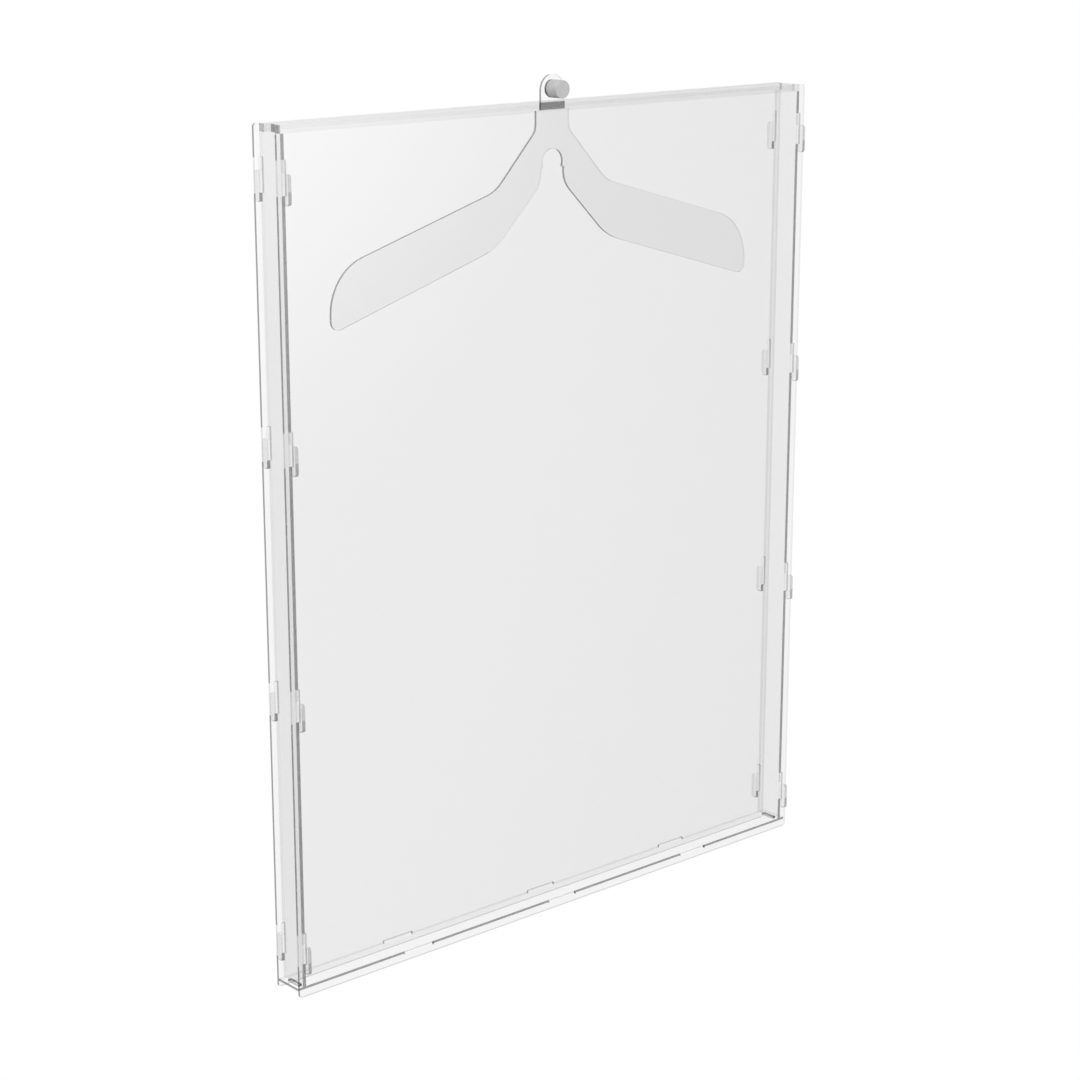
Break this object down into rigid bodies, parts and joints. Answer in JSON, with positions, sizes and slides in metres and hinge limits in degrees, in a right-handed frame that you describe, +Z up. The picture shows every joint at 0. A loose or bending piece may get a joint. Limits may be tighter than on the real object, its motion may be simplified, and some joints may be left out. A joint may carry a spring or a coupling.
{
  "type": "jersey display frame",
  "caption": "Shallow clear acrylic case that slots together with hooked side panels, with a lift-out lid carrying a flat shirt hanger on a round peg.",
  "frame": {"origin": "centre of the footprint, on the plane the case stands on", "axes": "+X along the width to the viewer's right, +Y to the back, +Z up"},
  "size_m": [0.654, 0.0494, 0.8258],
  "materials": {
    "clear_acrylic": "clear polished sheet with laser-cut edges",
    "satin_peg": "satin"
  },
  "bodies": {
    "case": {"front_panel": "clear_acrylic", "back_panel": "clear_acrylic", "left_side_panel": "clear_acrylic", "right_side_panel": "clear_acrylic", "bottom_panel": "clear_acrylic"},
    "lid": {"top_lid": "clear_acrylic", "hanger": "clear_acrylic"},
    "peg": {"peg": "satin_peg"}
  },
  "joints": [
    {"name": "lid_lift", "type": "slide", "parent": "case", "child": "lid", "axis": [0, 0, 1], "range_m": [0, 0.2]},
    {"name": "peg_pull", "type": "slide", "parent": "lid", "child": "peg", "axis": [0, -1, 0], "range_m": [0, 0.025]}
  ]
}
